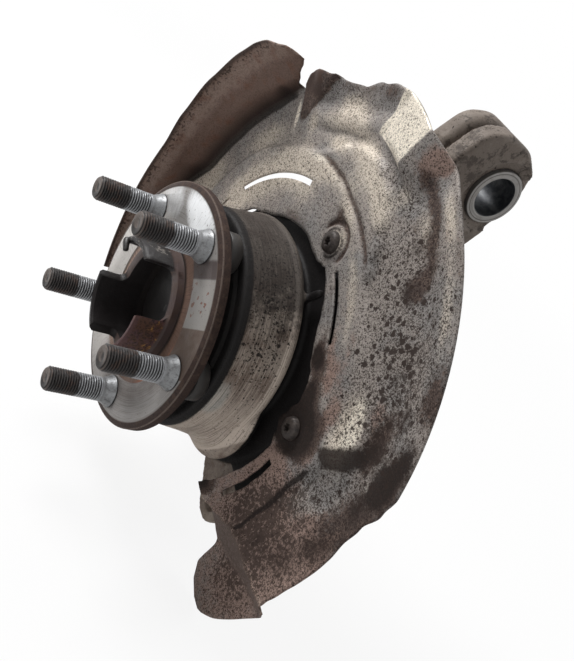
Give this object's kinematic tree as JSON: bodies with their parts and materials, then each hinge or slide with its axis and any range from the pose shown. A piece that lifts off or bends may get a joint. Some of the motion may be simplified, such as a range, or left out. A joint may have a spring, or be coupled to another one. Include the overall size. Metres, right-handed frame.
{
  "type": "steering knuckle",
  "caption": "Steering knuckle with its wheel hub, bearing, wheel studs and splash shield; it carries a front wheel on a turning flange.",
  "frame": {"origin": "centre of the wheel stud circle on the wheel face of the hub", "axes": "-Y outboard along the hub axis, +Z from the hub towards the arm, +X along the bore of the arm bush"},
  "size_m": [0.3178, 0.1909, 0.2914],
  "materials": {
    "cast_aluminium": "as cast, pitted and dirty",
    "forged_steel": "turned and rusty",
    "plated_steel": "zinc plated, dark thread tips",
    "black_rubber": "matt",
    "black_plastic": "matt",
    "cage_plastic": "plain",
    "bearing_steel": "ground",
    "turned_steel": "turned ring with a dark polished bore",
    "pressed_sheet": "bare sheet with dark corrosion specks",
    "bolt_steel": "oxidised"
  },
  "bodies": {
    "knuckle": {"knuckle": "cast_aluminium", "bearing_outer_ring": "bearing_steel", "bearing_seal_outboard": "black_rubber", "bearing_seal_inboard": "black_rubber", "bearing_snap_ring": "bearing_steel", "barrel_mouth_seal": "black_rubber", "arm_bush_sleeve": "turned_steel", "dust_shield": "pressed_sheet", "shield_bolt_1": "bolt_steel", "shield_bolt_2": "bolt_steel", "shield_bolt_3": "bolt_steel"},
    "hub": {"hub": "forged_steel", "hub_bore_plug": "black_plastic", "bearing_inner_ring_outboard": "bearing_steel", "bearing_inner_ring_inboard": "bearing_steel", "wheel_stud_1": "plated_steel", "wheel_stud_2": "plated_steel", "wheel_stud_3": "plated_steel", "wheel_stud_4": "plated_steel", "wheel_stud_5": "plated_steel"},
    "ball_rows": {"bearing_balls_outboard": "bearing_steel", "bearing_cage_outboard": "cage_plastic", "bearing_balls_inboard": "bearing_steel", "bearing_cage_inboard": "cage_plastic"}
  },
  "joints": [
    {"name": "hub_spin", "type": "hinge", "parent": "knuckle", "child": "hub", "pos_m": [0, 0, 0], "axis": [0, 1, 0], "continuous": true},
    {"name": "ball_row_spin", "type": "hinge", "parent": "knuckle", "child": "ball_rows", "pos_m": [0, 0, 0], "axis": [0, 1, 0], "continuous": true}
  ],
  "couplings": [
    {"joint": "ball_row_spin", "follows": "hub_spin", "ratio": 0.41}
  ]
}
